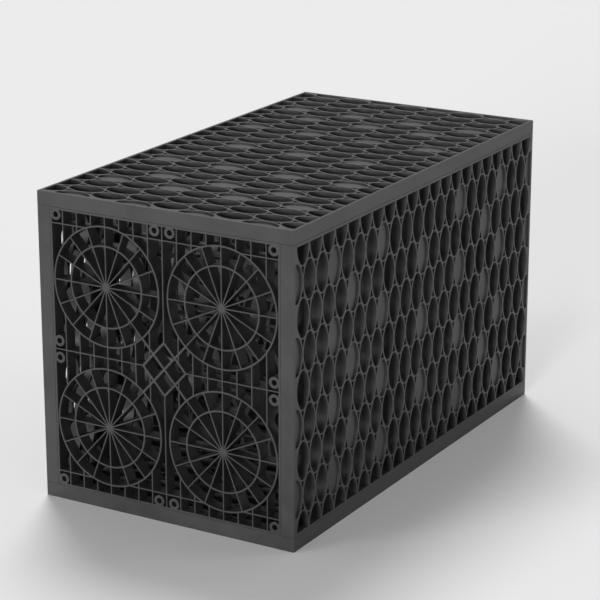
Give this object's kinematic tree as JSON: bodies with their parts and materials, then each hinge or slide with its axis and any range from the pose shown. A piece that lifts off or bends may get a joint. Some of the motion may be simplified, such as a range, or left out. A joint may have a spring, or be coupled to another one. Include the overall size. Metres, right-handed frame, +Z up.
{
  "type": "soakaway crate",
  "caption": "Box of black moulded lattice plates, with spoked pipe positions on one end, buried to hold rain water while it soaks away.",
  "frame": {"origin": "centre of the crate's footprint, on the ground", "axes": "+X across the width, +Y along the length towards the rear end, +Z up; the inlet end faces -Y"},
  "size_m": [0.4, 0.715, 0.44],
  "materials": {
    "black_polypropylene": "moulded, satin"
  },
  "bodies": {
    "root": {"top_plate": "black_polypropylene", "bottom_plate": "black_polypropylene", "left_side_plate": "black_polypropylene", "right_side_plate": "black_polypropylene", "inlet_end_plate": "black_polypropylene", "rear_end_plate": "black_polypropylene", "front_partition_plate": "black_polypropylene", "rear_partition_plate": "black_polypropylene"}
  },
  "joints": []
}
